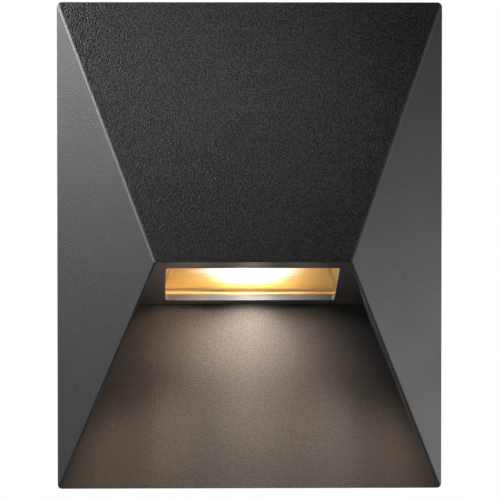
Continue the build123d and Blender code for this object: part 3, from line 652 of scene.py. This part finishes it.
zinc = mottled("zinc_plate", ZINC_COOL, ZINC_BRIGHT, ZINC_ROUGH, ZINC_STAIN, detail=3.0, metal=1.0)
relief(zinc, speckle(zinc, where(zinc), ZINC_GRAIN), ZINC_DEPTH)
dress(zinc, "terminal_clamp_screws", "earth_washer")

for node, (kind, length, seats) in SCREWS.items():
    plain = screw_points(length=length, **kind)
    screws = np.stack([set_up(plain, seat, axis) for seat, axis in seats.items()])
    threaded = grid_mesh("threaded_" + node, screws)
    threaded.data.materials.append(zinc)
    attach(threaded, "wall_mount" if node == "side_screws" else "lamp_body")
    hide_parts(node)


# Leads: stranded copper in soft coloured insulation with a satin skin. The earth lead is
# green with a yellow stripe along both sides, and ends in a tinned ring terminal.
LEAD_COLOURS = {
    "live_lead": ((0.13, 0.050, 0.020), (0.20, 0.085, 0.035)),
    "neutral_lead": ((0.015, 0.07, 0.34), (0.03, 0.12, 0.48)),
    "led_lead_positive": ((0.42, 0.015, 0.015), (0.55, 0.03, 0.03)),
    "led_lead_negative": ((0.010, 0.010, 0.010), (0.024, 0.024, 0.025)),
}
LEAD_ROUGH = 0.38
LEAD_SKIN = 900.0
LEAD_DEPTH = 0.00003
EARTH_GREEN = (0.05, 0.24, 0.03)
EARTH_YELLOW = (0.72, 0.60, 0.03)
EARTH_LEVEL = 0.0111
STRIPE_EDGE = (0.0004, 0.0006)
TIN_DARK = (0.60, 0.58, 0.54)
TIN_LIGHT = (0.78, 0.77, 0.75)
TIN_ROUGH = (0.22, 0.42)

for lead, (deep, pale) in LEAD_COLOURS.items():
    dress(mottled(lead + "_insulation", deep, pale, LEAD_ROUGH, LEAD_SKIN, LEAD_DEPTH), lead)

striped = new_finish("earth_lead_insulation", EARTH_GREEN, LEAD_ROUGH)
off_middle = parts_of(striped, where(striped, shift=(0.0, EARTH_LEVEL, 0.0)))["Y"]
stripe = levels(striped, combine(striped, "ABSOLUTE", off_middle), 0.0, 1.0, *STRIPE_EDGE)
feed(striped, "Base Color", tint(striped, stripe, EARTH_GREEN, EARTH_YELLOW))
relief(striped, speckle(striped, where(striped), LEAD_SKIN), LEAD_DEPTH)
dress(striped, "earth_lead")

tin = mottled("tinned_copper", TIN_DARK, TIN_LIGHT, TIN_ROUGH, scale=1100.0, detail=3.0, metal=1.0)
dress(tin, "earth_ring")


# Wall bracket: pressed from 1.5 mm hot-dip galvanised steel, whose zinc froze in flat
# crystals a few millimetres wide. It is screwed to the wall through its two slots.
SPANGLE_DARK = (0.46, 0.48, 0.50)
SPANGLE_LIGHT = (0.70, 0.71, 0.72)
SPANGLE_SPAN = (0.15, 0.85)
SPANGLE_ROUGH = (0.30, 0.52)
SPANGLE_DEPTH = 0.00002
CRYSTALS = 260.0
CRYSTAL_SHARE = 0.6
FROST = 1800.0
FROST_SHARE = 0.4

spangle = new_finish("galvanised_steel", SPANGLE_LIGHT, SPANGLE_ROUGH[0], 1.0)
crystals = cells(spangle, where(spangle), CRYSTALS, "Color")
crystal = put(spangle, "SeparateColor", {"Color": crystals}).outputs["Red"]
frost = speckle(spangle, where(spangle), FROST, 3.0)
frozen = combine(spangle, "ADD", combine(spangle, "MULTIPLY", crystal, CRYSTAL_SHARE),
                 combine(spangle, "MULTIPLY", frost, FROST_SHARE))
feed(spangle, "Base Color", tint(spangle, frozen, SPANGLE_DARK, SPANGLE_LIGHT, *SPANGLE_SPAN))
feed(spangle, "Roughness", levels(spangle, frozen, *SPANGLE_ROUGH))
relief(spangle, frozen, SPANGLE_DEPTH)
dress(spangle, "wall_bracket")


# Cable grommet: a moulded black rubber ring whose two lips grip the bracket's dished plate
# and seal the supply cable.
RUBBER_DARK = (0.014, 0.014, 0.015)
RUBBER_BLOOM = (0.040, 0.040, 0.041)
RUBBER_ROUGH = (0.5, 0.75)
RUBBER_SPAN = (0.3, 0.75)

rubber = mottled("grommet_rubber", RUBBER_DARK, RUBBER_BLOOM, RUBBER_ROUGH, scale=500.0, depth=0.00003,
                 detail=3.0, span=RUBBER_SPAN)
dress(rubber, "cable_grommet")


# Floor: a plain pale disc well below the light, with a soft matt surface. It isn't part of the
# object. A weak glow that only the camera sees keeps it pale without lighting the object.
FLOOR_LEVEL = -0.35
FLOOR_RADIUS = 1.1
FLOOR_AROUND = 96
FLOOR_RINGS = 12
FLOOR_DARK = (0.80, 0.80, 0.80)
FLOOR_LIGHT = (0.84, 0.84, 0.84)
FLOOR_GLOW = 0.55


def floor_points(around, rings):
    """Disc in polar form: the radius times the cosine and sine of the angle, at the floor's level."""
    angles = np.linspace(0.0, 2.0 * np.pi, around, endpoint=False)
    radii = np.linspace(0.0, FLOOR_RADIUS, rings)
    angle, radius = np.meshgrid(angles, radii, indexing="ij")
    level = np.full_like(angle, FLOOR_LEVEL)
    return np.stack([radius * np.cos(angle), radius * np.sin(angle), level], axis=-1)


floor = grid_mesh("floor", floor_points(FLOOR_AROUND, FLOOR_RINGS)[None])
pale_floor = mottled("pale_floor", FLOOR_DARK, FLOOR_LIGHT, rough=0.8, scale=6.0, span=(0.0, 1.0))
seen = put(pale_floor, "LightPath", {}).outputs["Is Camera Ray"]
pale_floor.node_tree.nodes["Principled BSDF"].inputs["Emission Color"].default_value = (1.0, 1.0, 1.0, 1.0)
feed(pale_floor, "Emission Strength", levels(pale_floor, seen, 0.0, FLOOR_GLOW))
floor.data.materials.append(pale_floor)


# Studio: a white surround, soft lamps at upper left, at both sides and behind, and a weak one in front.
# The camera has a long lens nearly square to the front, a little from the left and from above.
AMBIENT = 0.03
CAMERA_PLACE = (-0.03354, -1.17848, 0.03040)
CAMERA_TARGET = (0.00031, 0.0, -0.01555)
CAMERA_LENS = 273.8
CAMERA_SENSOR = 36.0
BODY_MIDDLE = (0.0, -0.02, -0.014)
UPPER_MIDDLE = (0.0, -0.03, 0.03)
UPPER_FRONT = (0.0, -0.02, 0.035)
# Place, target, size, power, spread in degrees.
SOFT_LAMPS = {
    "near_left": ((-0.14, -0.04, 0.12), UPPER_MIDDLE, 0.06, 0.25, 180.0),
    "front": ((-0.10, -0.25, 0.25), UPPER_FRONT, 0.06, 0.0052, 18.0),
    "left": ((-0.30, 0.06, 0.12), BODY_MIDDLE, 0.20, 0.77, 180.0),
    "left_flat": ((-0.34, 0.03, -0.05), BODY_MIDDLE, 0.20, 0.13, 180.0),
    "right": ((0.30, 0.06, -0.12), BODY_MIDDLE, 0.20, 0.35, 180.0),
    "right_flat": ((0.34, 0.04, 0.0), BODY_MIDDLE, 0.20, 0.088, 180.0),
    "rear": ((0.25, 0.90, 0.45), BODY_MIDDLE, 0.80, 8.0, 180.0),
}

world = bpy.data.worlds.new("surround")
bpy.context.scene.world = world
world.use_nodes = True
nodes = world.node_tree.nodes
links = world.node_tree.links
ambient = nodes["Background"]
ambient.inputs["Color"].default_value = (1.0, 1.0, 1.0, 1.0)
ambient.inputs["Strength"].default_value = AMBIENT
backdrop = nodes.new("ShaderNodeBackground")
backdrop.inputs["Color"].default_value = (1.0, 1.0, 1.0, 1.0)
path = nodes.new("ShaderNodeLightPath")
choose = nodes.new("ShaderNodeMixShader")
links.new(path.outputs["Is Camera Ray"], choose.inputs["Fac"])
links.new(ambient.outputs["Background"], choose.inputs[1])
links.new(backdrop.outputs["Background"], choose.inputs[2])
links.new(choose.outputs["Shader"], nodes["World Output"].inputs["Surface"])

for name, (place, target, size, power, spread) in SOFT_LAMPS.items():
    soft_lamp(name, place, Vector(target) - Vector(place), size, power, spread=spread)

lens = bpy.data.cameras.new("camera")
lens.lens = CAMERA_LENS
lens.sensor_width = CAMERA_SENSOR
camera = bpy.data.objects.new("camera", lens)
camera.location = CAMERA_PLACE
camera.rotation_euler = (Vector(CAMERA_TARGET) - Vector(CAMERA_PLACE)).to_track_quat("-Z", "Y").to_euler()
bpy.context.scene.collection.objects.link(camera)
bpy.context.scene.camera = camera
bpy.context.scene.view_settings.view_transform = "Standard"
